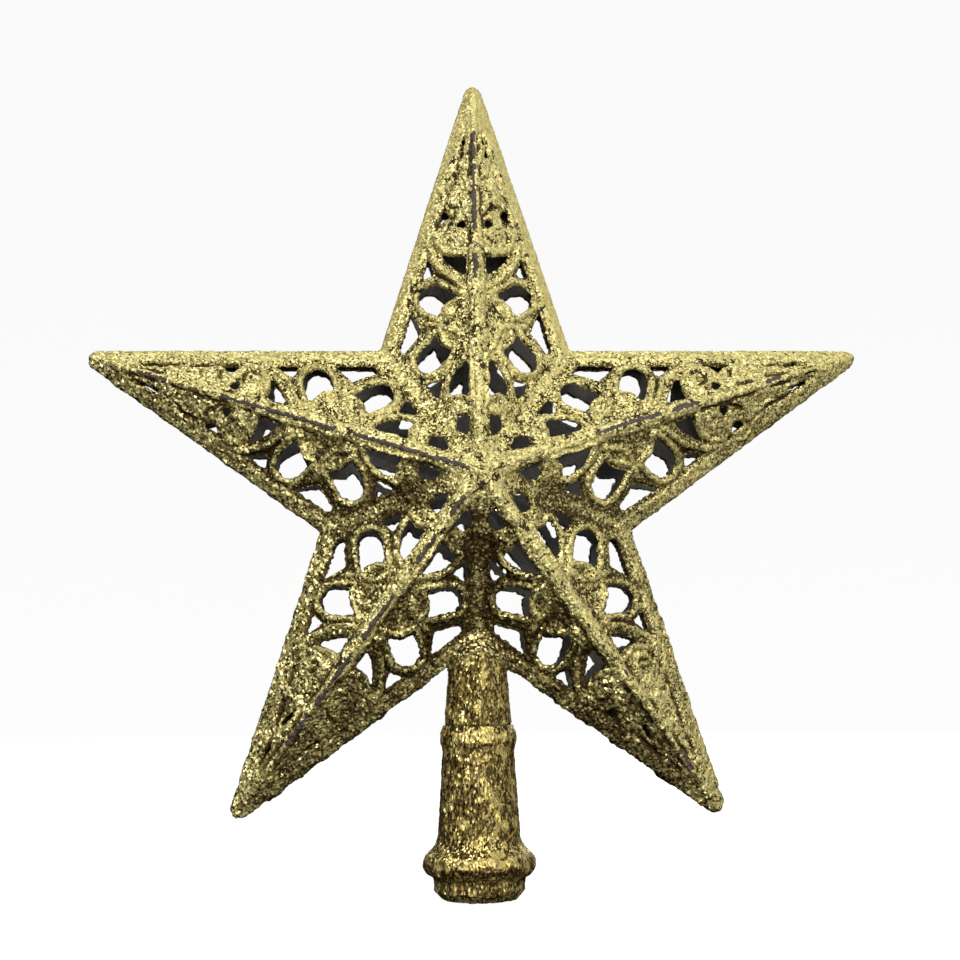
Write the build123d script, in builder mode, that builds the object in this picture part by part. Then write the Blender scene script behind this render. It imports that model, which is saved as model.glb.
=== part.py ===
from build123d import *
from math import ceil, cos, pi, radians, sin, tan
import os

# Christmas tree topper: a hollow five-pointed openwork star on a socket stem.
# Millimetres, +Z up. The star faces -Y and the origin is the centre of the stem's mouth.

# Star
star_span = 200.0  # across the two side arms, over their rounded tips
tip_radius = 2.4  # rounding of each arm's tip
half_depth = 28.0  # from the parting plane to the apex
edge_height = 1.5  # straight side wall of one half
edge_wall = 3.0  # width of the glued face round the rim

# Bars that frame the openwork of a facet, as seen from the front
ridge_bar = 5.0
valley_bar = 2.8
rim_bar = 4.2
window_stretch = 3.2  # longest straight stretch that a bowed side is made of

# Slit near the tip, on a line that meets the ridge at the tip
slit_setback = 20.0  # from the sharp tip of the arm
slit_length = 6.0
slit_width = 1.0
slit_lean = 7.5  # degrees

# Locating tab of each half
tab_length = 6.0  # along the arm
tab_thickness = 2.2
tab_height = 3.0
tab_setback = 27.0  # from the sharp tip of the arm
tab_clearance = 0.1
tab_end_gap = 0.4
boss_wall = 1.1

# Stem tube
bore_radius = 8.2  # takes the tree's leader
bore_depth = 33.0
bore_step = 0.7  # ledge where the bore narrows to the neck's socket
stem_height = 43.8
stem_wall = 1.3  # at the top of the bore
stem_taper = 3.5  # degrees
bead_height = 6.2
bead_proud = 0.75
foot_wall = 3.4
foot_height = 5.4
foot_chamfer = 2.2
flange_overhang = 3.0
flange_height = 7.0
flange_shoulder = 1.6  # how far the flange's top stands out from the stem
ogee_height = 3.8  # hollow curve from the flange up to the stem
stem_stretch = 2.9  # longest straight stretch that a curve of its profile is made of

# Neck, half on each star half
neck_length = 20.5  # from the stem's top to the star's lower inner corner
neck_clearance = 0.1
neck_wall = 1.6
neck_taper = 4.5  # degrees
neck_dome_drop = 4.9  # from the star's lower inner corner to the centre of the neck's round top
neck_roof = 4.0  # solid top of the neck, up to the star's lower inner corner

# The star is a true pentagram: all its edges lie at one distance from the centre
ARMS = 5
TIP_HALF_ANGLE = pi / ARMS / 2
VALLEY_ANGLE = pi / ARMS
star_radius = (star_span / 2 + tip_radius * (1 / tan(TIP_HALF_ANGLE) - 1)) / cos(TIP_HALF_ANGLE)
edge_distance = star_radius * sin(TIP_HALF_ANGLE)
inner_corner = edge_distance / cos(VALLEY_ANGLE)
star_height = stem_height + neck_length + inner_corner
facet_slope = (half_depth - edge_height) / edge_distance
core_radius = star_radius - edge_wall / sin(TIP_HALF_ANGLE)
core_depth = half_depth - facet_slope * edge_wall

socket_radius = bore_radius - bore_step
spigot_radius = socket_radius - neck_clearance
neck_bore = spigot_radius - neck_wall
dome_height = stem_height + neck_length - neck_dome_drop
neck_base = spigot_radius + (dome_height - stem_height) * tan(radians(neck_taper))
slot_length = tab_length + 2 * tab_clearance
slot_width = tab_thickness + 2 * tab_clearance

star_plane = Plane(origin=(0, 0, star_height), x_dir=(1, 0, 0), z_dir=(0, -1, 0))


def star_corners(radius):
    """The ten corners of a pentagram with one arm pointing up, tips and inner corners in turn."""
    inner = radius * sin(TIP_HALF_ANGLE) / cos(VALLEY_ANGLE)
    turns = [pi / 2 + step * VALLEY_ANGLE for step in range(2 * ARMS)]
    reaches = [radius, inner] * ARMS
    return [(reach * cos(turn), reach * sin(turn)) for reach, turn in zip(reaches, turns)]


def spot(along, across):
    """A point of a facet's window field, with the arm's ridge along X.

    along is the share of the way from the apex to the tip, and across the share of the way from
    the ridge's bar to the bar of the valley or the rim, whichever is nearer there.
    """
    reach = along * star_radius
    low = ridge_bar / 2
    valley_side = reach * tan(VALLEY_ANGLE) - valley_bar / 2 / cos(VALLEY_ANGLE)
    rim_side = (edge_distance - rim_bar - reach * sin(TIP_HALF_ANGLE)) / cos(TIP_HALF_ANGLE)
    return (reach, low + across * (min(valley_side, rim_side) - low))


def bow(start, through, end, longest):
    """Points from start towards end, on straight stretches along the arc through a third point."""
    arc = Edge.make_three_point_arc(start, through, end)
    stretches = ceil(arc.length / longest)
    return [tuple(arc @ (step / stretches))[:2] for step in range(stretches)]


# Windows of one facet, from the apex to the tip: corners, and spots marked BOW that the stretch
# between two corners bows through
BOW = True
windows = {
    "kite": [(0.080, 0.30), (0.101, 0.95), (0.131, 0.52), (0.132, 0.00), (0.098, 0.00)],
    "bud": [(0.173, 0.00), (0.264, 0.00), (0.228, 0.28, BOW), (0.176, 0.50), (0.183, 0.18, BOW)],
    "valley_triangle": [(0.167, 0.82), (0.213, 0.87), (0.219, 0.47)],
    "inner_petal": [
        (0.252, 0.44),
        (0.246, 0.78, BOW),
        (0.282, 0.71),
        (0.336, 0.45),
        (0.304, 0.37, BOW),
        (0.285, 0.20),
    ],
    "rim_arch": [(0.293, 0.87), (0.310, 0.99), (0.402, 1.00), (0.372, 0.83, BOW), (0.345, 0.69)],
    "outer_petal": [
        (0.375, 0.47),
        (0.393, 0.71),
        (0.436, 0.92, BOW),
        (0.454, 0.60),
        (0.420, 0.15),
        (0.403, 0.38, BOW),
    ],
    "rim_triangle": [(0.473, 1.00), (0.530, 1.00), (0.480, 0.68)],
    "crescent": [
        (0.468, 0.02),
        (0.518, 0.00),
        (0.519, 0.35, BOW),
        (0.541, 0.78),
        (0.496, 0.37, BOW),
    ],
    "scroll_eye": [(0.581, 0.00), (0.614, 0.00), (0.598, 0.38)],
    "scroll_slit": [(0.600, 0.98), (0.648, 1.00), (0.620, 0.58)],
    "leaf": [(0.662, 0.00), (0.711, 0.19), (0.742, 0.79), (0.693, 0.42)],
}

with BuildSketch() as facet_windows:
    for marks in windows.values():
        outline = []
        for index, mark in enumerate(marks):
            ahead = [marks[(index + step) % len(marks)] for step in range(3)]
            start, through, end = [spot(*place[:2]) for place in ahead]
            if BOW in ahead[1][2:]:
                outline += bow(start, through, end, window_stretch)
            elif BOW not in mark[2:]:
                outline.append(start)
        Polygon(*outline)
    with Locations((star_radius, 0)):
        with PolarLocations(slit_setback + slit_length / 2, 1, start_angle=180 - slit_lean):
            Rectangle(slit_length, slit_width)
    mirror(about=Plane.XZ)

# Star half, with its tab in the right arm and its slot in the left one
tab_reach = star_radius - tab_setback
tab_angle = 90 - 360 / ARMS
slot_angle = 90 + 360 / ARMS
apex = star_plane.from_local_coords((0, 0, half_depth))
core_apex = star_plane.from_local_coords((0, 0, core_depth))

with BuildPart() as core:
    with BuildSketch(star_plane):
        Polygon(*star_corners(core_radius))
    extrude(amount=edge_height)
    loft([core.faces().sort_by(Axis.Y)[0], Vertex(core_apex)], ruled=True)
    with BuildSketch(star_plane):
        for angle in (tab_angle, slot_angle):
            with PolarLocations(tab_reach, 1, start_angle=angle):
                Rectangle(slot_length + 2 * boss_wall, slot_width + 2 * boss_wall)
    extrude(amount=half_depth, mode=Mode.SUBTRACT)

with BuildPart() as star_half:
    with BuildSketch(star_plane):
        Polygon(*star_corners(star_radius))
    extrude(amount=edge_height)
    loft([star_half.faces().sort_by(Axis.Y)[0], Vertex(apex)], ruled=True)
    add(core.part, mode=Mode.SUBTRACT)
    with BuildSketch(star_plane) as rounded_star:
        Polygon(*star_corners(star_radius))
        fillet(rounded_star.vertices().sort_by_distance((0, 0))[-ARMS:], tip_radius)
    extrude(amount=half_depth, mode=Mode.INTERSECT)
    with BuildSketch(star_plane):
        with PolarLocations(0, ARMS, start_angle=90):
            add(facet_windows.sketch)
    extrude(amount=half_depth, mode=Mode.SUBTRACT)

    # Neck, with a spigot below the shoulder that sits on the stem
    with BuildSketch(Plane.XZ):
        with BuildLine():
            Polyline(
                (0, bore_depth),
                (spigot_radius, bore_depth),
                (spigot_radius, stem_height),
                (neck_base, stem_height),
                (spigot_radius, dome_height),
            )
            RadiusArc((spigot_radius, dome_height), (0, dome_height + spigot_radius), -spigot_radius)
            Line((0, dome_height + spigot_radius), (0, bore_depth))
        make_face()
    revolve(axis=Axis.Z.reverse(), revolution_arc=180)
    with BuildSketch(Plane.XY.offset(bore_depth)):
        Circle(neck_bore)
    extrude(amount=stem_height + neck_length - neck_roof - bore_depth, mode=Mode.SUBTRACT)

    # Locating tab and slot
    with BuildSketch(star_plane):
        with PolarLocations(tab_reach, 1, start_angle=tab_angle):
            Rectangle(tab_length, tab_thickness)
    extrude(amount=-tab_height)
    with BuildSketch(star_plane):
        with PolarLocations(tab_reach, 1, start_angle=slot_angle):
            Rectangle(slot_length, slot_width)
    extrude(amount=tab_height + tab_end_gap, mode=Mode.SUBTRACT)

with BuildPart() as front_star_half:
    add(star_half.part)

with BuildPart() as rear_star_half:
    add(star_half.part, rotation=(0, 0, 180))

# Stem tube
bead_base = stem_height - bead_height
foot_radius = bore_radius + foot_wall
flange_top = foot_height + flange_height
ogee_top = flange_top + ogee_height


def stem_radius(height):
    """Outer radius of the plain tapered tube at a height."""
    return bore_radius + stem_wall + (bore_depth - height) * tan(radians(stem_taper))


flange_edge = stem_radius(flange_top) + flange_shoulder

with BuildPart() as stem_tube:
    with BuildSketch(Plane.XZ):
        Polygon(
            (socket_radius, stem_height),
            (socket_radius, bore_depth),
            (bore_radius, bore_depth),
            (bore_radius, 0),
            (foot_radius - foot_chamfer, 0),
            (foot_radius, foot_chamfer),
            *bow(
                (foot_radius, foot_height),
                (foot_radius + flange_overhang, foot_height + flange_height / 2),
                (flange_edge, flange_top),
                stem_stretch,
            ),
            *bow(
                (flange_edge, flange_top),
                (stem_radius(flange_top) + flange_shoulder / 3, flange_top + ogee_height / 3),
                (stem_radius(ogee_top), ogee_top),
                stem_stretch,
            ),
            (stem_radius(ogee_top), ogee_top),
            *bow(
                (stem_radius(bead_base), bead_base),
                (stem_radius(bead_base) + bead_proud, bead_base + bead_height / 2),
                (stem_radius(stem_height), stem_height),
                stem_stretch,
            ),
            (stem_radius(stem_height), stem_height),
        )
    revolve(axis=Axis.Z)

os.makedirs("parts", exist_ok=True)
front_star_half.part.label = "front_star_half"
rear_star_half.part.label = "rear_star_half"
stem_tube.part.label = "stem_tube"
export_step(front_star_half.part, "parts/front_star_half.step")
export_step(rear_star_half.part, "parts/rear_star_half.step")
export_step(stem_tube.part, "parts/stem_tube.step")
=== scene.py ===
import math
from collections import namedtuple

import bpy
import numpy as np
from mathutils import Matrix, Vector, noise


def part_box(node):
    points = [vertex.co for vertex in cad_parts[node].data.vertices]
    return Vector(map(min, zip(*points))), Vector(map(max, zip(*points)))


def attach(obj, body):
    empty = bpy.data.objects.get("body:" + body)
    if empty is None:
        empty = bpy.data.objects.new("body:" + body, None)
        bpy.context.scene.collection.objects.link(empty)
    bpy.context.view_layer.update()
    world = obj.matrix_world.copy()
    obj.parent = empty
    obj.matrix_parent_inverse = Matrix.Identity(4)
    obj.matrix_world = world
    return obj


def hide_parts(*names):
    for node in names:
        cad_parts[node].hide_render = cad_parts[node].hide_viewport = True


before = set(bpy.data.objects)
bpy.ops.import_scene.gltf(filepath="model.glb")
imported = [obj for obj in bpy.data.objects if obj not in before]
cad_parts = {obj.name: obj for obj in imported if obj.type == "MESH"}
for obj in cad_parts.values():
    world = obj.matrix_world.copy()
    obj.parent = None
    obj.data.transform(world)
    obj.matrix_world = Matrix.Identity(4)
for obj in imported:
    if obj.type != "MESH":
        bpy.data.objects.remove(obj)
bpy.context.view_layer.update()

# Sizes are in millimetres, and the scene is in metres. A value that is a pair of numbers says where
# something starts and where it is complete.
MM = 0.001
ARMS = 5
TIP_HALF_ANGLE = math.pi / ARMS / 2
ARM_TURN = 2 * math.pi / ARMS
SIN_TIP, COS_TIP = math.sin(TIP_HALF_ANGLE), math.cos(TIP_HALF_ANGLE)
TIP_RADIUS = 2.4
EDGE_HEIGHT = 1.5  # of a facet's edge above the seam
star_low, star_high = (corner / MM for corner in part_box("front_star_half"))
_, stem_high = (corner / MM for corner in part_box("stem_tube"))
stem_height = stem_high.z
half_depth = -star_low.y
half_span = (star_high.x - star_low.x) / 2
star_radius = (half_span + TIP_RADIUS * (COS_TIP / SIN_TIP - 1)) / COS_TIP
star_height = star_high.z - star_radius + TIP_RADIUS * (1 / SIN_TIP - 1)
edge_distance = star_radius * SIN_TIP
facet_slope = (half_depth - EDGE_HEIGHT) / edge_distance
facet_lean = math.atan(facet_slope)

VOXEL = 0.46  # size of the new faces
WALL = 1.6  # depth under a facet from where a half's inside counts
INSIDE_SHARE = 0.08  # of the faces inside a half that are kept
RIM_WIDTH = 1.2  # of the rim along the seam, which counts as outside
EDGE_MARGIN = 1.0  # from an arm's edge to what is surely in the star or surely in the neck
SEAT = 1.0  # height next to the joint of neck and stem that keeps its shape
RIDGE_ROUND = 1.8  # half width of the rounding along the ridges


# Geometry

def smooth_step(value, low, high):
    share = np.clip((value - low) / (high - low), 0, 1)
    return share * share * (3 - 2 * share)


def round_top(gap, half_width):
    """Height of a round rib of height 1 at some distance from its middle line."""
    return np.sqrt(np.clip(1 - (gap / half_width) ** 2, 0, 1))


def coordinates(mesh):
    flat = np.empty(len(mesh.vertices) * 3)
    mesh.vertices.foreach_get("co", flat)
    return flat.reshape(-1, 3) / MM


def set_coordinates(mesh, points):
    mesh.vertices.foreach_set("co", (points * MM).ravel())
    mesh.update()


def normals(mesh):
    flat = np.empty(len(mesh.vertices) * 3)
    mesh.vertex_normals.foreach_get("vector", flat)
    return flat.reshape(-1, 3)


def lumps(points, size, seed):
    """Smooth noise from -1 to 1 with lumps of about that size."""
    shift = Vector((seed * 17.3, seed * 5.1, seed * 11.7))
    return np.array([noise.noise(Vector(p) / size + shift) for p in points])


# Where points of a star half lie on its facets: along the arm, across it, the arm, the depth under the
# facet and the distance from the star's middle towards the arm's edge
Place = namedtuple("Place", "along across arm below to_edge")


def facet_place(points, front):
    x, y, z = points.T
    x, depth = (x, -y) if front else (-x, y)
    z = z - star_height
    turn = np.arctan2(z, x) - math.pi / 2
    arm = np.round(turn / ARM_TURN)
    off = turn - ARM_TURN * arm
    reach = np.hypot(x, z)
    along, across = reach * np.cos(off), reach * np.sin(off)
    to_edge = along * SIN_TIP + np.abs(across) * COS_TIP
    below = (half_depth - facet_slope * to_edge - depth) * math.cos(facet_lean)
    return Place(along, across, arm.astype(int) % ARMS, below, to_edge)


def facet_point(along, across, arm, below, front):
    """The place in space of a point given by where it lies on a facet."""
    turn = math.pi / 2 + ARM_TURN * arm
    to_edge = along * SIN_TIP + abs(across) * COS_TIP
    depth = half_depth - facet_slope * to_edge - below / math.cos(facet_lean)
    x = along * math.cos(turn) - across * math.sin(turn)
    z = along * math.sin(turn) + across * math.cos(turn) + star_height
    return (x, -depth, z) if front else (-x, depth, z)


def facet_normals(place, front):
    """Outward directions of the facets that points lie on, blended over the ridge."""
    turn = math.pi / 2 + ARM_TURN * place.arm
    side = np.clip(place.across / RIDGE_ROUND, -1, 1) * COS_TIP
    lean = math.sin(facet_lean)
    out = np.stack([lean * (SIN_TIP * np.cos(turn) - side * np.sin(turn)),
                    np.full(len(turn), -math.cos(facet_lean)),
                    lean * (SIN_TIP * np.sin(turn) + side * np.cos(turn))], axis=1)
    if not front:
        out[:, :2] *= -1
    return out


def segment_distance(points, segments):
    """Distance of each point to the nearest of some segments, in the plane."""
    nearest = np.full(len(points), 1e9)
    for start, end in segments:
        run = end - start
        share = np.clip((points - start) @ run / max(run @ run, 1e-9), 0, 1)
        nearest = np.minimum(nearest, np.hypot(*(points - start - share[:, None] * run).T))
    return nearest


def line_distance(points, marks):
    marks = np.array(marks)
    return segment_distance(points, list(zip(marks[:-1], marks[1:])))


# Window outlines

ON_FACET = 0.02  # largest distance from a facet of a point that lies on it
WALL_TURN = 0.02  # largest part towards the front of the direction of a window's wall
OUTLINE_MARGIN = 0.5  # from a window to the arm's edge


def window_rims(node):
    """Outlines of the windows in one facet of the CAD node, each as segments along and across."""
    mesh = node.data
    along, across, arm, below, to_edge = facet_place(coordinates(mesh), True)
    on_facet = (np.abs(below) < ON_FACET) & (to_edge < edge_distance - OUTLINE_MARGIN)
    on_facet &= (arm == 0) & (across > 0)
    found = {}
    for face in mesh.polygons:
        if abs(face.normal.y) > WALL_TURN:
            continue
        for first, second in face.edge_keys:
            if on_facet[first] and on_facet[second]:
                ends = [(round(along[v], 2), round(across[v], 2)) for v in (first, second)]
                found[tuple(sorted(ends))] = ends
    outlines = []
    left = list(found.values())
    while left:
        outline = [left.pop()]
        corners = set(outline[0])
        while True:
            joined = [ends for ends in left if corners & set(ends)]
            if not joined:
                break
            outline += joined
            corners |= {corner for ends in joined for corner in ends}
            left = [ends for ends in left if ends not in joined]
        outlines.append([np.array(ends) for ends in outline])
    return outlines


def outline_near(spot):
    """The window outline whose middle is nearest to a spot on the facet."""
    return min(outlines, key=lambda outline: np.hypot(*(np.mean(outline, axis=(0, 1)) - spot)))


outlines = window_rims(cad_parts["front_star_half"])


# Carving of one facet, along and across the arm: windows with a rope round them, by their middles,
# raised ropes, raised domes (along, across, radius, height) and sunk lines

ROPED = [(23.5, 4.6), (31.0, 11.0), (46.0, 10.0)]
ROPES = [
    [(48.6, 3.6), (51.2, 6.6), (54.2, 9.2), (57.6, 11.0), (61.0, 11.6)],
    [(58.6, 3.4), (57.9, 5.4), (58.6, 7.8), (60.6, 9.6), (63.4, 10.0)],
    [(32.2, 4.0), (36.5, 5.4), (38.6, 9.0), (39.2, 12.6)],
]
DOMES = [
    (62.6, 6.4, 3.4, 0.6),
    (42.6, 7.6, 2.2, 0.65),
    (37.2, 7.6, 2.4, 0.4),
    (16.4, 5.4, 2.3, 0.7),
    (11.6, 8.0, 1.8, 0.5),
    (72.4, 5.8, 3.0, 0.4),
    (80.5, 2.6, 2.4, 0.3),
]
LINES = [
    [(53.6, 11.2), (51.4, 8.4), (49.4, 5.6)],
    [(61.2, 8.6), (63.4, 8.8), (64.8, 7.2), (64.2, 5.2), (62.2, 4.8), (61.4, 6.2), (62.6, 7.0)],
    [(65.6, 10.2), (72.0, 8.1), (80.0, 5.6), (92.0, 2.4)],
    [(68.2, 2.8), (70.6, 4.4), (71.2, 6.6)],
    [(74.6, 7.0), (78.0, 6.0), (82.6, 4.6)],
    [(60.0, 2.0), (75.0, 1.7), (93.0, 1.2)],
]
ROPE_RADIUS = 0.8
ROPE_HEIGHT = 0.95
ROPE_ACROSS = (1.4, 2.2)
VALLEY_ROPE_RADIUS = 1.2  # of the rope in the valleys between the arms
VALLEY_ROPE_SHARE = 0.6  # of a rope's height
VALLEY_ROPE_START, VALLEY_ROPE_END = (15, 24), (34, 30)
GROUND_DEPTH = 0.6  # of the ground between the ropes
GROUND_START, GROUND_END = (4, 9), (63, 57)
GROUND_FROM_EDGE, GROUND_ACROSS = (2.4, 3.6), (1.7, 2.8)
LINE_DEPTH = 0.9
LINE_SIDE, LINE_DARK_SIDE = (0.1, 0.8), (0.2, 0.7)  # distances from the middle of a sunk line
LINE_CLOGGED = 0.15  # share of the depth that glitter leaves where it clogs a line
CLOG_SIZE, CLOG_EDGE = 5.0, (-0.2, 0.25)
RIDGE_DROP = 0.2
RIDGE_BEAD_HEIGHT, RIDGE_BEAD_RADIUS, RIDGE_BEAD_START = 0.35, 1.1, (2, 6)
WINDOW_DROP, WINDOW_DROP_WIDTH = 0.45, 0.6  # rounding of the windows' edges
WAVER, WAVER_SIZE = 0.6, 4.0  # of all these lines
ARM_SHIFT = 50  # between the noise of two arms
roped = [outline_near(middle) for middle in ROPED]


def carving(place, seed):
    """How far the facet's skin stands out of its plane, and how far it is in a sunk line."""
    flat = np.stack([place.along, place.across, ARM_SHIFT * place.arm], axis=1)
    along = place.along + WAVER * lumps(flat, WAVER_SIZE, seed)
    across = np.abs(place.across) + WAVER * lumps(flat, WAVER_SIZE, seed + 1)
    spots = np.stack([along, across], axis=1)
    to_valley = along * math.sin(ARM_TURN / 2) - across * math.cos(ARM_TURN / 2)
    from_edge = edge_distance - place.to_edge
    ground = smooth_step(along, *GROUND_START) * smooth_step(along, *GROUND_END)
    ground *= smooth_step(from_edge, *GROUND_FROM_EDGE) * smooth_step(across, *GROUND_ACROSS)
    rope = round_top(to_valley, VALLEY_ROPE_RADIUS) * smooth_step(along, *VALLEY_ROPE_END)
    rope *= smooth_step(along, *VALLEY_ROPE_START) * VALLEY_ROPE_SHARE
    for outline in roped:
        rope = np.maximum(rope, round_top(segment_distance(spots, outline) - ROPE_RADIUS, ROPE_RADIUS))
    for marks in ROPES:
        rope = np.maximum(rope, round_top(line_distance(spots, marks), ROPE_RADIUS))
    height = ROPE_HEIGHT * rope * smooth_step(across, *ROPE_ACROSS) - GROUND_DEPTH * ground
    for s, t, radius, rise in DOMES:
        height += rise * np.clip(1 - ((along - s) ** 2 + (across - t) ** 2) / radius ** 2, 0, 1)
    clear = LINE_CLOGGED + (1 - LINE_CLOGGED) * smooth_step(lumps(flat, CLOG_SIZE, seed + 2), *CLOG_EDGE)
    # groove marks where the glitter is darkened along the sunk lines: painted shade, and glitter lost there
    groove = np.zeros(len(spots))
    for marks in LINES:
        gap = line_distance(spots, marks)
        height -= LINE_DEPTH * clear * (1 - smooth_step(gap, *LINE_SIDE))
        groove = np.maximum(groove, clear * (1 - smooth_step(gap, *LINE_DARK_SIDE)))
    height -= RIDGE_DROP * np.maximum(RIDGE_ROUND - across, 0) ** 2
    height += RIDGE_BEAD_HEIGHT * round_top(across, RIDGE_BEAD_RADIUS) * smooth_step(along, *RIDGE_BEAD_START)
    gap = np.min([segment_distance(spots, outline) for outline in outlines], axis=0)
    height -= WINDOW_DROP * (1 - np.minimum(gap / WINDOW_DROP_WIDTH, 1)) ** 2
    return height, groove


# Openings that the glitter has filled: from, to, half width and the facets, as arm and side

FACETS = {(arm, side) for arm in range(ARMS) for side in (1, -1)}
FILLED = [
    ((72.4, 2.4), (82.6, 4.7), 1.3, FACETS - {(2, -1), (3, -1)}),
    ((63.8, 3.9), (68.1, 3.9), 1.7, {(2, 1), (2, -1), (3, 1), (3, -1)}),
    ((65.8, 8.1), (71.9, 8.1), 1.9, {(2, 1), (2, -1), (3, 1)}),
    ((84.2, 3.5), (91.0, 2.5), 0.9, {(2, 1), (3, 1), (3, -1)}),
]
PLUG_TOP, PLUG_BOTTOM = 0.5, 1.5  # depths under the facet
BLOCK_SIDES = ((0, 1, 2, 3), (7, 6, 5, 4), (0, 4, 5, 1), (1, 5, 6, 2), (2, 6, 7, 3), (3, 7, 4, 0))


def plugs(front):
    """Blocks just under the skin that close the filled openings."""
    points, faces = [], []
    for (s0, t0), (s1, t1), half_width, facets in FILLED:
        run = Vector((s1 - s0, t1 - t0)).normalized() * half_width
        for arm, side in sorted(facets):
            base = len(points)
            for below in (PLUG_TOP, PLUG_BOTTOM):
                for s, t, w in ((s0, t0, -1), (s1, t1, -1), (s1, t1, 1), (s0, t0, 1)):
                    points.append(facet_point(s - w * run.y, side * (t + w * run.x), arm, below, front))
            for ring in BLOCK_SIDES:
                faces.append([base + corner for corner in (ring if (side > 0) == front else ring[::-1])])
    mesh = bpy.data.meshes.new("plugs")
    mesh.from_pydata([Vector(p) * MM for p in points], [], faces)
    return mesh


# Meshes

def bake(piece):
    """Applies the modifiers of a piece."""
    graph = bpy.context.evaluated_depsgraph_get()
    mesh = bpy.data.meshes.new_from_object(piece.evaluated_get(graph))
    piece.modifiers.clear()
    piece.data = mesh


def remeshed(node, name, extra=None):
    """A new object with the node's skin, and that of some extra blocks, in even small faces."""
    piece = bpy.data.objects.new(name, node.data.copy())
    bpy.context.scene.collection.objects.link(piece)
    if extra:
        joined = bpy.data.objects.new("extra", extra)
        bpy.context.scene.collection.objects.link(joined)
        with bpy.context.temp_override(active_object=piece, selected_editable_objects=[piece, joined]):
            bpy.ops.object.join()
    weld = piece.modifiers.new("weld", "WELD")
    weld.merge_threshold = 1e-6
    even = piece.modifiers.new("even", "REMESH")
    even.mode = "VOXEL"
    even.voxel_size = VOXEL * MM
    bake(piece)
    return piece


def group(piece, name, chosen):
    """Names a group of a piece's vertices."""
    members = piece.vertex_groups.new(name=name)
    members.add(np.flatnonzero(chosen).tolist(), 1.0, "REPLACE")


def thin_out(piece, chosen, share):
    """Keeps only a share of the faces where the chosen vertices are."""
    group(piece, "thin", chosen)
    thin = piece.modifiers.new("thin", "DECIMATE")
    thin.ratio = 1 - np.mean(chosen) * (1 - share)
    thin.vertex_group = "thin"
    bake(piece)


def soften(piece, chosen, rounds):
    """Rounds a piece off at the chosen vertices."""
    group(piece, "soft", chosen)
    smooth = piece.modifiers.new("soft", "SMOOTH")
    smooth.factor = 0.5
    smooth.iterations = rounds
    smooth.vertex_group = "soft"
    bake(piece)


def store(mesh, **layers):
    """Keeps values of the vertices for the material."""
    for name, values in layers.items():
        layer = mesh.attributes.new(name, "FLOAT", "POINT")
        layer.data.foreach_set("value", np.asarray(values, np.float32))


# Glitter on the stem and the neck, and the crust of all pieces

ROUGH, ROUGH_SIZE = 0.24, 1.6
FINE, FINE_SIZE = 0.14, 0.8
SPECKLE = 0.04
STEM_STRETCH = (1, 1, 0.6)
STEM_CLUMP, STEM_CLUMP_EDGE = 2.2, (0.05, 0.4)
STEM_THIN = 0.4  # share of glitter between the clumps


def grain(mesh, thickness, amount, seed):
    """Moves the points out to a rough crust of glitter."""
    points = coordinates(mesh)
    rough = ROUGH * lumps(points, ROUGH_SIZE, seed) + FINE * lumps(points, FINE_SIZE, seed + 1)
    rough += np.random.default_rng(seed).uniform(-SPECKLE, SPECKLE, len(points))
    set_coordinates(mesh, points + normals(mesh) * (thickness + rough * amount)[:, None])


def stem_coat(points, seed):
    """Thin glitter with denser clumps."""
    clumps = lumps(points * STEM_STRETCH, STEM_CLUMP, seed)
    return STEM_THIN + (1 - STEM_THIN) * smooth_step(clumps, *STEM_CLUMP_EDGE)


# Star halves

CRUST = 0.03
# Share of each facet's skin that glitter covers, lower on the facets that face down, which paints their
# shade as well as thinner glitter; by arm from the top one anticlockwise as seen from outside, for its
# sides of negative and positive across
COVER_AND_SHADE = [(1.0, 1.0), (0.94, 0.8), (0.8, 0.66), (0.66, 0.82), (0.86, 0.94)]
THINNEST = 0.66
DENSE_RIDGE, DENSE_RIDGE_END = (2.4, 0.8), (75, 60)  # the ridges and the star's middle stay covered
DENSE_MIDDLE = (4, 12)
# An even coat along the arms' edges, on the top arm and on the others, and at the tips
EVEN_TOP_ARM, EVEN_ARM = 0.8, 0.4
EVEN_FROM_EDGE, EVEN_TIP = (2.5, 1.5), (86, 92)
# Glitter taken away in hollows and in sunk lines, which paints their shade as well as glitter lost there, and
# low on the flanks of thin facets and at their tips, which is painted shade
HOLLOW, HOLLOW_LOSS_AND_SHADE, THIN_HOLLOW_LOSS_AND_SHADE = (-0.1, -0.85), 0.5, 0.4
GROOVE_LOSS_AND_SHADE = 0.8
FLANK, FLANK_HEIGHT, FLANK_SHADE = (3, 9), (0.3, -0.1), 0.3
TIP_STRETCH, TIP_SHADE = (58, 68), 0.2
DEEP, DEEP_LOSS = (0.5, 1.3), 0.7  # on the walls of the windows
SEAM_WIDTH, SEAM_COAT = 0.3, 0.35
FULL_COAT = 1.05
PATCH, PATCH_AMOUNT = 3.0, 0.1
BLOTCH, BLOTCH_AMOUNT = 6.0, 0.6
CLOT, CLOT_HEIGHT, CLOT_FROM_EDGE = 4.0, 0.9, 4
ROUGHER_THIN, SMOOTHER_EVEN = 0.7, 0.6
INSIDE_GRAIN = 0.2
# Stretches of each arm's ridge where the glitter is rubbed off
WORN = {
    0: [(50, 57), (64, 83), (84, 91)],
    1: [(3, 33), (37, 68), (83, 91)],
    2: [(7, 14), (20, 27), (37, 50), (55, 70), (73, 83)],
    3: [(86, 92)],
    4: [(31, 49), (52, 60), (79, 83)],
}
WORN_SIDE, WORN_WIDTH = 0.3, 0.6  # place and half width across the ridge
WORN_WAVER, WORN_PATCH, WORN_RAGGED = 1.5, 0.3, 0.4
WORN_BARE, RAGGED_SIZE, WORN_DEPTH = 0.8, 1.3, 1.0
SKIN_EDGE, SKIN_DEPTH = (0.8, 0.1), (1.3, 0.4)  # past the arm's edge and under the facet


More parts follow.
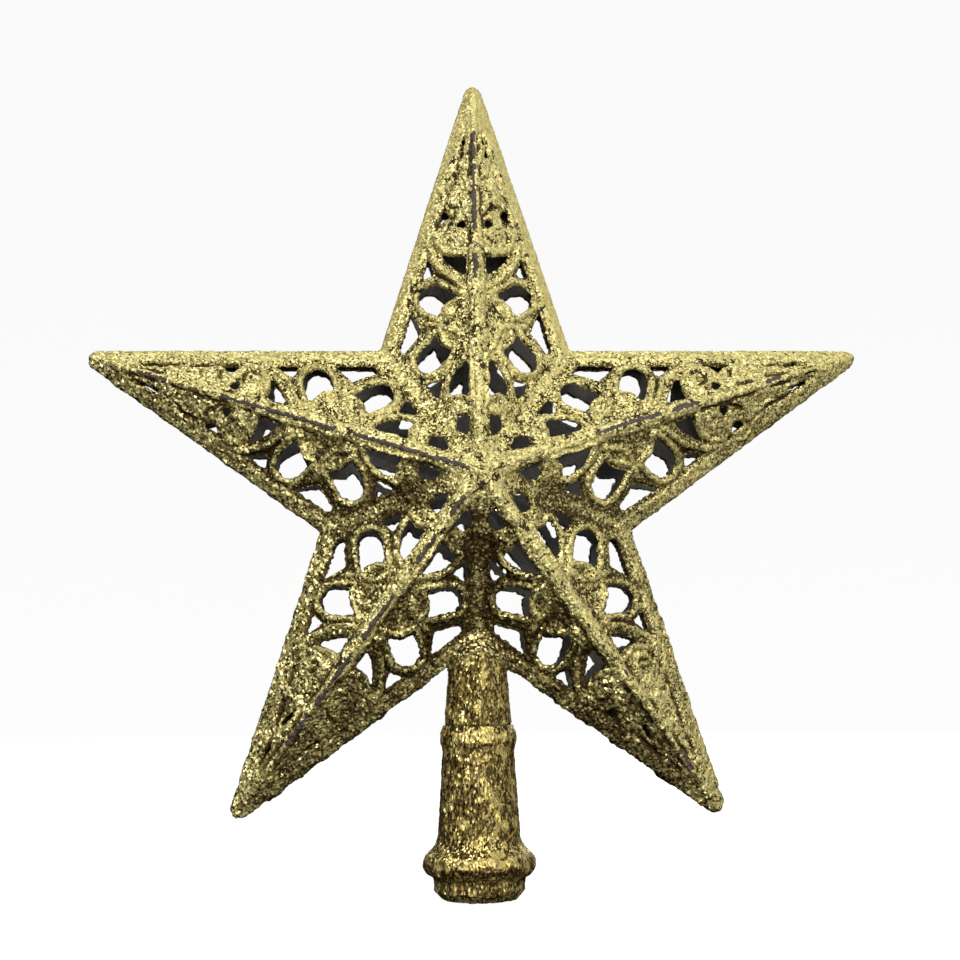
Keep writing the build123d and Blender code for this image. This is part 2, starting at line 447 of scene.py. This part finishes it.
def worn_ridges(place, points, patch, seed):
    """Which points of a star half lie where the glitter is rubbed off."""
    ragged = lumps(points, RAGGED_SIZE, seed)
    near = np.abs(place.across - WORN_SIDE) < WORN_WIDTH + WORN_PATCH * patch + WORN_RAGGED * ragged
    worn = np.zeros(len(points), bool)
    for arm, stretches in WORN.items():
        for low, high in stretches:
            inside = (place.along > low + WORN_WAVER * patch) & (place.along < high + WORN_WAVER * patch)
            worn |= (place.arm == arm) & inside
    return worn & near & (place.below < WORN_DEPTH)


def glitter_half(mesh, points, place, height, groove, seed):
    """Gives a half its crust, and keeps how dense, bare, coarse and even its glitter is; the density also
    carries painted shade.
    """
    along, across, arm, below, to_edge = place
    in_star = to_edge < edge_distance - EDGE_MARGIN
    neck = to_edge > edge_distance + EDGE_MARGIN
    patch = lumps(points, PATCH, seed + 5)
    # Sparser glitter on the facets that face down paints their shade as well as thinner glitter; thin, made
    # from it, carries both
    cover_and_shade = np.array(COVER_AND_SHADE)[arm, (across > 0).astype(int)]
    ridge = smooth_step(np.abs(across), *DENSE_RIDGE) * smooth_step(along, *DENSE_RIDGE_END)
    cover_and_shade = 1 - (1 - cover_and_shade) * (1 - ridge) * smooth_step(along, *DENSE_MIDDLE)
    thin = smooth_step(cover_and_shade, 1.0, THINNEST)

    start, full = (edge_distance - gap for gap in EVEN_FROM_EDGE)
    even = np.maximum(smooth_step(to_edge, start, full), smooth_step(along, *EVEN_TIP))
    even *= np.where(arm == 0, EVEN_TOP_ARM, EVEN_ARM) * (1 - thin) * (to_edge < edge_distance + EDGE_MARGIN)
    # Less glitter in hollows and sunk lines: painted shade as well as glitter lost there
    loss_and_shade = smooth_step(height, *HOLLOW) * (HOLLOW_LOSS_AND_SHADE + THIN_HOLLOW_LOSS_AND_SHADE * thin) + GROOVE_LOSS_AND_SHADE * groove
    # Less glitter low on the flanks of thin facets and at their tips: painted shade
    loss_and_shade += FLANK_SHADE * thin * smooth_step(np.abs(across), *FLANK) * smooth_step(height, *FLANK_HEIGHT)
    loss_and_shade += TIP_SHADE * thin ** 2 * smooth_step(along, *TIP_STRETCH)
    blotches = BLOTCH_AMOUNT * thin * lumps(points, BLOTCH, seed + 8)
    coat = (FULL_COAT - loss_and_shade + PATCH_AMOUNT * patch + blotches) * cover_and_shade
    coat = np.maximum(coat, even)
    coat = np.where(in_star, coat * (1 - DEEP_LOSS * smooth_step(below, *DEEP)), coat)
    coat = np.where(np.abs(points[:, 1]) < SEAM_WIDTH, SEAM_COAT, coat)
    coat = np.where(neck, stem_coat(points, seed + 9), coat)

    inside = (below > WALL) & in_star
    bare = np.where(inside, 1.0, 0.0)
    bare = np.where(worn_ridges(place, points, patch, seed + 6), WORN_BARE, bare)
    clots = CLOT_HEIGHT * thin * np.maximum(lumps(points, CLOT, seed + 3), 0)
    clots *= smooth_step(to_edge, edge_distance - CLOT_FROM_EDGE, edge_distance)
    amount = 1.0 + ROUGHER_THIN * thin * (1 - neck) - SMOOTHER_EVEN * even
    grain(mesh, CRUST + np.where(neck, 0, clots), np.where(inside, INSIDE_GRAIN, amount), seed)
    store(mesh, coat=coat, bare=bare, coarse=np.where(neck, 1.0, thin), even=even, streak=neck)


def star_half(node_name, piece_name, front, seed):
    piece = remeshed(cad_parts[node_name], piece_name, plugs(front))
    place = facet_place(coordinates(piece.data), front)
    inside = (place.below > WALL) & (place.to_edge < edge_distance - RIM_WIDTH)
    thin_out(piece, inside, INSIDE_SHARE)

    points = coordinates(piece.data)
    place = facet_place(points, front)
    outside = (place.below < WALL) | (place.to_edge > edge_distance - RIM_WIDTH)
    outside &= points[:, 2] > stem_height + SEAT
    soften(piece, outside, 3)

    points = coordinates(piece.data)
    place = facet_place(points, front)
    skin = smooth_step(place.to_edge, *(edge_distance + gap for gap in SKIN_EDGE))
    skin = skin * smooth_step(place.below, *SKIN_DEPTH)
    height, groove = (values * skin for values in carving(place, seed + 7))
    set_coordinates(piece.data, points + facet_normals(place, front) * height[:, None])
    soften(piece, outside, 1)
    glitter_half(piece.data, points, place, height, groove, seed)
    return piece


# Stem

STEM_CRUST = -0.1
BORE_REACH = 8.6  # largest radius that counts as the bore
# Painted shadow and painted highlights on the stem's front and back, made with how much glitter there is: a
# dark band low on the flange where its underside is in shadow, and pale bands on the lit crests of the flange
# and the bead; from and to height, half width and how much glitter there is
SHADE_AND_HIGHLIGHT_BANDS = [(6.6, 8.5, 10.0, 0.15), (9.4, 11.4, 9.0, 1.0), (39.8, 42.0, 7.0, 1.0)]
BAND_WAVER, BAND_WAVER_SIZE = 0.8, 2.0


def stem(node_name, piece_name, seed):
    piece = remeshed(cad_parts[node_name], piece_name)
    points = coordinates(piece.data)
    bore = np.hypot(points[:, 0], points[:, 1]) < BORE_REACH
    soften(piece, ~bore & (points[:, 2] < stem_height - SEAT), 4)
    coat = stem_coat(points, seed + 9)
    height = points[:, 2] + BAND_WAVER * lumps(points, BAND_WAVER_SIZE, seed + 5)
    # Paints the shadow under the flange's rim and the highlights on the crests into the glitter
    for low, high, half_width, amount in SHADE_AND_HIGHLIGHT_BANDS:
        inside = (height > low) & (height < high) & (np.abs(points[:, 0]) < half_width)
        coat = np.where(inside, amount, coat)
    grain(piece.data, STEM_CRUST, 1.0, seed)
    points = coordinates(piece.data)
    points[:, 2] = np.maximum(points[:, 2], 0)
    set_coordinates(piece.data, points)
    everywhere = np.ones(len(points))
    store(piece.data, coat=coat, bare=bore, coarse=everywhere, even=0 * everywhere, streak=everywhere)
    return piece


# Shader nodes

def link_value(tree, socket, source):
    """Puts a number on a socket or links an output to it."""
    if isinstance(source, bpy.types.NodeSocket):
        tree.links.new(source, socket)
    else:
        socket.default_value = source


def math_node(tree, operation, *inputs):
    node = tree.nodes.new("ShaderNodeMath")
    node.operation = operation
    for socket, source in zip(node.inputs, inputs):
        link_value(tree, socket, source)
    return node.outputs[0]


def vector_node(tree, operation, *inputs):
    node = tree.nodes.new("ShaderNodeVectorMath")
    node.operation = operation
    sockets = [node.inputs[0], node.inputs["Scale"]] if operation == "SCALE" else node.inputs
    for socket, source in zip(sockets, inputs):
        link_value(tree, socket, source)
    return node.outputs[0]


def mix_node(tree, kind, share, first, second):
    node = tree.nodes.new("ShaderNodeMix")
    node.data_type = kind
    wanted = [s for s in node.inputs if s.enabled]
    for socket, source in zip(wanted, (share, first, second)):
        link_value(tree, socket, source)
    return next(s for s in node.outputs if s.enabled)


def ramp_node(tree, share, stops):
    node = tree.nodes.new("ShaderNodeValToRGB")
    link_value(tree, node.inputs[0], share)
    marks = node.color_ramp.elements
    while len(marks) < len(stops):
        marks.new(0.5)
    for mark, (place, colour) in zip(marks, stops):
        mark.position = place
        mark.color = (*colour, 1)
    return node.outputs[0]


def attribute(tree, name):
    node = tree.nodes.new("ShaderNodeAttribute")
    node.attribute_name = name
    return node.outputs["Fac"]


def cells_node(tree, place, size, feature="F1"):
    node = tree.nodes.new("ShaderNodeTexVoronoi")
    node.feature = feature
    node.inputs["Scale"].default_value = 1 / (size * MM)
    tree.links.new(place, node.inputs["Vector"])
    return node


def noise_node(tree, place, size, output="Fac"):
    node = tree.nodes.new("ShaderNodeTexNoise")
    node.inputs["Scale"].default_value = 1 / (size * MM)
    tree.links.new(place, node.inputs["Vector"])
    return node.outputs[output]


def centred(tree, draw):
    """A random draw from 0 to 1 on each axis, moved to have its middle at 0."""
    return vector_node(tree, "SUBTRACT", draw, (0.5,) * 3)


# Glitter: fine gold flakes, each with its own tilt and tone, over dark bare plastic

FLAKE = 0.42
COARSE_FLAKE = 0.56
FLAKE_BORDER = 0.8  # size of the raggedness where fine and coarse flakes meet
STREAK_STRETCH = (1.5, 1.5, 0.7)  # of the place, which makes flakes longer up the stem
TILT, COARSE_TILT, EVEN_TILT = 0.9, 0.1, -0.3
CLUMP, CLUMP_TILT = 1.2, 0.25
EVEN_SPREAD = -0.4  # change in the range of tones
GOLD = [
    (0.0, (0.15, 0.115, 0.035)),
    (0.25, (0.40, 0.35, 0.13)),
    (0.75, (0.65, 0.595, 0.275)),
    (1.0, (0.98, 0.925, 0.52)),
]
# Brown flakes: a darker copy of the gold, whose colour paints the shade on glitter turned from the light
BROWN_SHADE = [
    (0.0, (0.016, 0.011, 0.004)),
    (1.0, (0.105, 0.074, 0.022)),
]
# Bare plastic, from that of the rubbed ridges to that of the inside
PLASTIC = [
    (0.15, (0.03, 0.023, 0.019)),
    (0.45, (0.07, 0.056, 0.047)),
    (0.65, (0.08, 0.078, 0.078)),
    (0.95, (0.13, 0.128, 0.128)),
]
PLASTIC_SCALE, PLASTIC_SHIFT = 2.5, -2.0
MOTTLE, MOTTLE_SIZE = 0.6, 1.1
STEM_TINT = (1, 0.91, 0.76)
CREVICE = 1.9  # size of the clods between the crevices
CREVICE_COLOUR = (0.035, 0.027, 0.012, 1)
CREVICE_WIDTH, CREVICE_SHIFT, CREVICE_SIZE = 0.9, -0.465, 3.0
CREVICE_CLOSED = -0.3  # on even and coarse glitter
SWAY, SWAY_SIZE = 1.2, 1.5
DRAW_SCALE, DRAW_SHIFT = 0.96, 0.02
ROUGHNESS, ROUGHNESS_RANGE, COARSE_ROUGHNESS = 0.52, 0.3, -0.15
METALLIC, COARSE_METALLIC = 0.55, 0.12
PLASTIC_ROUGHNESS = 0.6
RUBBED_RANGE, RUBBED_FROM = 0.5, 0.75
SPECULAR = 0.3


def flake_cells(tree, place, coarse, streak):
    """The random draw of the flake at each place, and the flake's middle."""
    stretched = vector_node(tree, "MULTIPLY", place, STREAK_STRETCH)
    fine = cells_node(tree, place, FLAKE)
    large = cells_node(tree, mix_node(tree, "VECTOR", streak, place, stretched), COARSE_FLAKE)
    ragged = math_node(tree, "ADD", coarse, noise_node(tree, place, FLAKE_BORDER))
    is_large = math_node(tree, "GREATER_THAN", ragged, 1.0)
    return (mix_node(tree, "VECTOR", is_large, fine.outputs[name], large.outputs[name])
            for name in ("Color", "Position"))


def flake_normal(tree, flat, draw, place, coarse, even):
    """Outward directions of the flakes, which tilt each its own way and with their clump."""
    amount = math_node(tree, "MULTIPLY_ADD", coarse, COARSE_TILT, TILT)
    amount = math_node(tree, "MULTIPLY_ADD", even, EVEN_TILT, amount)
    tilt = vector_node(tree, "SCALE", centred(tree, draw), amount)
    clumps = cells_node(tree, place, CLUMP)
    swell = vector_node(tree, "SCALE", centred(tree, clumps.outputs["Color"]), CLUMP_TILT)
    leaning = vector_node(tree, "ADD", vector_node(tree, "ADD", flat, tilt), swell)
    return vector_node(tree, "NORMALIZE", leaning)


def flake_tone(tree, red, blue, even, streak):
    """Pale gold flakes, as many as the coat has, among brown ones, a darker copy of the gold that paints
    shade.
    """
    spread = math_node(tree, "MULTIPLY", math_node(tree, "SUBTRACT", red, 0.5),
                       math_node(tree, "MULTIPLY_ADD", even, EVEN_SPREAD, 1.0))
    gold = ramp_node(tree, math_node(tree, "ADD", spread, 0.5), GOLD)
    brown_shade = ramp_node(tree, red, BROWN_SHADE)
    draw = math_node(tree, "MULTIPLY_ADD", blue, DRAW_SCALE, DRAW_SHIFT)
    pale = math_node(tree, "LESS_THAN", draw, attribute(tree, "coat"))
    tint = mix_node(tree, "VECTOR", streak, (1, 1, 1), STEM_TINT)
    return vector_node(tree, "MULTIPLY", mix_node(tree, "RGBA", pale, brown_shade, gold), tint)


def outside_crevices(tree, place, flake_place, coarse, even):
    """1 on the clods of glitter and 0 in the crevices between them."""
    sway = vector_node(tree, "SCALE", centred(tree, noise_node(tree, place, SWAY_SIZE, "Color")), SWAY * MM)
    swayed = vector_node(tree, "ADD", flake_place, sway)
    clods = cells_node(tree, swayed, CREVICE, "DISTANCE_TO_EDGE")
    width = noise_node(tree, place, CREVICE_SIZE)
    width = math_node(tree, "MULTIPLY_ADD", width, CREVICE_WIDTH, CREVICE_SHIFT)
    width = math_node(tree, "MULTIPLY_ADD", math_node(tree, "ADD", even, coarse), CREVICE_CLOSED, width)
    return math_node(tree, "GREATER_THAN", clods.outputs["Distance"], width)


def plastic_tone(tree, place, bare):
    mottle = math_node(tree, "MULTIPLY_ADD", noise_node(tree, place, MOTTLE_SIZE), MOTTLE, PLASTIC_SHIFT)
    return ramp_node(tree, math_node(tree, "MULTIPLY_ADD", bare, PLASTIC_SCALE, mottle), PLASTIC)


def glitter():
    material = bpy.data.materials.new("gold_glitter_flakes")
    material.use_nodes = True
    tree = material.node_tree
    shader = tree.nodes["Principled BSDF"]
    place = tree.nodes.new("ShaderNodeTexCoord").outputs["Object"]
    flat = tree.nodes.new("ShaderNodeNewGeometry").outputs["Normal"]
    coarse, even, streak, bare = (attribute(tree, name) for name in ("coarse", "even", "streak", "bare"))
    draw, flake_place = flake_cells(tree, place, coarse, streak)
    draws = tree.nodes.new("ShaderNodeSeparateXYZ")
    tree.links.new(draw, draws.inputs[0])
    red, green, blue = draws.outputs

    tone = flake_tone(tree, red, blue, even, streak)
    whole = outside_crevices(tree, place, flake_place, coarse, even)
    tone = mix_node(tree, "RGBA", whole, CREVICE_COLOUR, tone)
    normal = flake_normal(tree, flat, draw, place, coarse, even)
    rough = math_node(tree, "MULTIPLY_ADD", green, ROUGHNESS_RANGE, ROUGHNESS)
    rough = math_node(tree, "MULTIPLY_ADD", coarse, COARSE_ROUGHNESS, rough)
    metal = math_node(tree, "MULTIPLY_ADD", coarse, COARSE_METALLIC, METALLIC)
    rubbed = math_node(tree, "MULTIPLY_ADD", green, RUBBED_RANGE, bare)
    rubbed = math_node(tree, "GREATER_THAN", rubbed, RUBBED_FROM)
    plastic = plastic_tone(tree, place, bare)
    link_value(tree, shader.inputs["Base Color"], mix_node(tree, "RGBA", rubbed, tone, plastic))
    link_value(tree, shader.inputs["Metallic"], mix_node(tree, "FLOAT", rubbed, metal, 0.0))
    link_value(tree, shader.inputs["Roughness"], mix_node(tree, "FLOAT", rubbed, rough, PLASTIC_ROUGHNESS))
    link_value(tree, shader.inputs["Normal"], mix_node(tree, "VECTOR", rubbed, normal, flat))
    shader.inputs["Specular IOR Level"].default_value = SPECULAR
    return material


# Pieces

pieces = {
    "front_star_half": star_half("front_star_half", "glitter_front_half", True, 11),
    "rear_star_half": star_half("rear_star_half", "glitter_rear_half", False, 23),
    "stem_tube": stem("stem_tube", "glitter_stem", 37),
}
flakes = glitter()
for node_name, piece in pieces.items():
    piece.vertex_groups.clear()
    piece.data.materials.clear()
    piece.data.materials.append(flakes)
    piece.data.polygons.foreach_set("use_smooth", [False] * len(piece.data.polygons))
    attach(piece, "root")
    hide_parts(node_name)


# Stage: a pale floor that curves up all round, in metres

FLOOR_RADIUS, FLOOR_BEND, WALL_TOP = 1.4, 0.8, 2.6
FLOOR_RINGS = [0.001, 0.4, 0.9]
BEND_STEPS, FLOOR_TURNS = 12, 96
PAPER_COLOUR = (0.14, 0.14, 0.138, 1)
PAPER_GLOW = 0.92


def lathe(name, profile, turns):
    """A round sheet from points of radius and height."""
    rings = [[(r * math.cos(a), r * math.sin(a), z) for a in np.linspace(0, 2 * math.pi, turns, False)]
             for r, z in profile]
    faces = []
    for ring in range(len(rings) - 1):
        for step in range(turns):
            after = (step + 1) % turns
            faces.append((ring * turns + step, ring * turns + after,
                          (ring + 1) * turns + after, (ring + 1) * turns + step))
    mesh = bpy.data.meshes.new(name)
    mesh.from_pydata([p for ring in rings for p in ring], [], faces)
    mesh.polygons.foreach_set("use_smooth", [True] * len(faces))
    sheet = bpy.data.objects.new(name, mesh)
    bpy.context.scene.collection.objects.link(sheet)
    return sheet


def pale_paper():
    paper = bpy.data.materials.new("pale_paper")
    paper.use_nodes = True
    shader = paper.node_tree.nodes["Principled BSDF"]
    shader.inputs["Base Color"].default_value = PAPER_COLOUR
    shader.inputs["Roughness"].default_value = 0.9
    shader.inputs["Emission Color"].default_value = (1, 1, 1, 1)
    shader.inputs["Emission Strength"].default_value = PAPER_GLOW
    return paper


bend = [(FLOOR_RADIUS + FLOOR_BEND * math.sin(a), FLOOR_BEND - FLOOR_BEND * math.cos(a))
        for a in np.linspace(0, math.pi / 2, BEND_STEPS)]
wall_top = (FLOOR_RADIUS + FLOOR_BEND, WALL_TOP)
floor = lathe("studio_floor", [*((r, 0) for r in FLOOR_RINGS), *bend, wall_top], FLOOR_TURNS)
floor.data.materials.append(pale_paper())
floor.visible_glossy = False
floor.visible_diffuse = False


# Light: name, place and size in metres, power and colour of each soft lamp, and the glow of the sky
# from below to above

LAMPS = [
    ("key", (-0.05, -0.50, 0.64), 0.8, 0.9, (0.97, 1.0, 1.0)),
    ("front", (0.08, -0.76, 0.33), 0.6, 10.4, (1.0, 0.955, 0.87)),
    ("back", (0.15, 0.70, 0.45), 0.7, 7.0, (1.0, 0.97, 0.92)),
]
SKY = [(0.0, 0.015), (0.42, 0.03), (0.52, 0.08), (0.65, 0.3), (0.85, 0.95), (1.0, 1.0)]
SKY_STRENGTH = 0.36
middle = Vector((0, 0, star_height * MM))


def soft_light(name, place, size, power, colour):
    """A round lamp that points at the middle of the star."""
    light = bpy.data.lights.new(name, "AREA")
    light.shape = "DISK"
    light.size = size
    light.energy = power
    light.color = colour
    lamp = bpy.data.objects.new(name, light)
    lamp.location = place
    lamp.rotation_euler = (middle - Vector(place)).to_track_quat("-Z", "Y").to_euler()
    bpy.context.scene.collection.objects.link(lamp)


def studio_sky():
    world = bpy.data.worlds.new("studio")
    bpy.context.scene.world = world
    world.use_nodes = True
    tree = world.node_tree
    direction = tree.nodes.new("ShaderNodeSeparateXYZ")
    tree.links.new(tree.nodes.new("ShaderNodeTexCoord").outputs["Generated"], direction.inputs[0])
    height = math_node(tree, "MULTIPLY_ADD", direction.outputs["Z"], 0.5, 0.5)
    glow = ramp_node(tree, height, [(place, (grey,) * 3) for place, grey in SKY])
    tree.links.new(glow, tree.nodes["Background"].inputs["Color"])
    tree.nodes["Background"].inputs["Strength"].default_value = SKY_STRENGTH


for lamp_values in LAMPS:
    soft_light(*lamp_values)
studio_sky()
bpy.context.scene.view_settings.view_transform = "Standard"


# Camera, fitted to the ten corners of the star in the photograph

AZIMUTH, ELEVATION, ROLL = (math.radians(a) for a in (-2.79, -5.96, -0.52))
DISTANCE = 4 * star_radius * MM
LENS, SENSOR = 63.70, 36
SHIFT_X, SHIFT_Y = 0.00427, 0.00125

back = Vector((math.sin(AZIMUTH) * math.cos(ELEVATION),
               -math.cos(AZIMUTH) * math.cos(ELEVATION),
               math.sin(ELEVATION)))
level = Vector((math.cos(AZIMUTH), math.sin(AZIMUTH), 0))
upright = back.cross(level)
right = math.cos(ROLL) * level + math.sin(ROLL) * upright
up = math.cos(ROLL) * upright - math.sin(ROLL) * level
lens = bpy.data.cameras.new("camera")
lens.lens = LENS
lens.sensor_width = SENSOR
lens.shift_x = SHIFT_X
lens.shift_y = SHIFT_Y
lens.clip_start = 0.01
camera = bpy.data.objects.new("camera", lens)
turn = Matrix((right, up, back)).transposed().to_4x4()
camera.matrix_world = Matrix.Translation(middle + DISTANCE * back) @ turn
bpy.context.scene.collection.objects.link(camera)
bpy.context.scene.camera = camera
